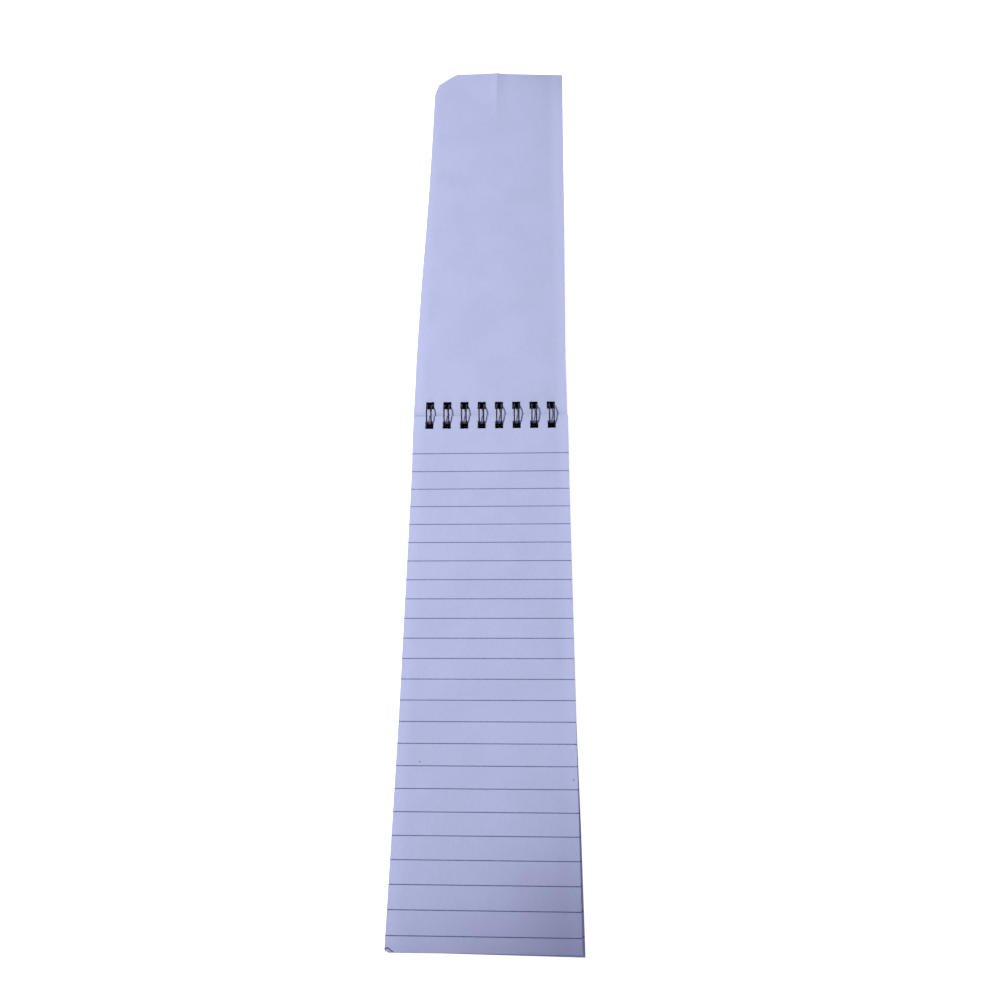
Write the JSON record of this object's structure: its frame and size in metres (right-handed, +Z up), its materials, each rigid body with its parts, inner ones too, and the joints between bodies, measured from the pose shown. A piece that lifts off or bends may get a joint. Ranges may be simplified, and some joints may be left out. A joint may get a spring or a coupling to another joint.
{
  "type": "notepad",
  "caption": "Tall narrow top-bound notepad with a twin-loop wire, opened flat: ruled pages on a back board, and the thin front cover turned over the wire.",
  "frame": {"origin": "middle of the flat underside of the back cover, where it lies on the table", "axes": "+Z up from the table; +Y along the notepad's length, from the pages to the turned-over front cover; +X across the width, along the binding"},
  "size_m": [0.0766, 0.4578, 0.0111],
  "materials": {
    "back_board": "grey-beige chipboard, matte",
    "page_paper": "pale lavender-blue uncoated paper with thin dark blue ruled lines",
    "cover_card": "pale lavender-blue thin card, plain inside face",
    "binding_wire": "glossy black coating on steel wire"
  },
  "bodies": {
    "bound_pages": {"page_block": "page_paper", "binding_wire": "binding_wire"},
    "front_cover": {"front_cover": "cover_card"},
    "back_cover": {"back_cover": "back_board"}
  },
  "joints": [
    {"name": "front_cover_turn", "type": "hinge", "parent": "bound_pages", "child": "front_cover", "pos_m": [0, 0.13305, 0.00635], "axis": [1, 0, 0], "range_deg": [-20, 181]},
    {"name": "back_cover_turn", "type": "hinge", "parent": "bound_pages", "child": "back_cover", "pos_m": [0, 0.13305, 0.00475], "axis": [1, 0, 0], "range_deg": [0, 50]}
  ]
}
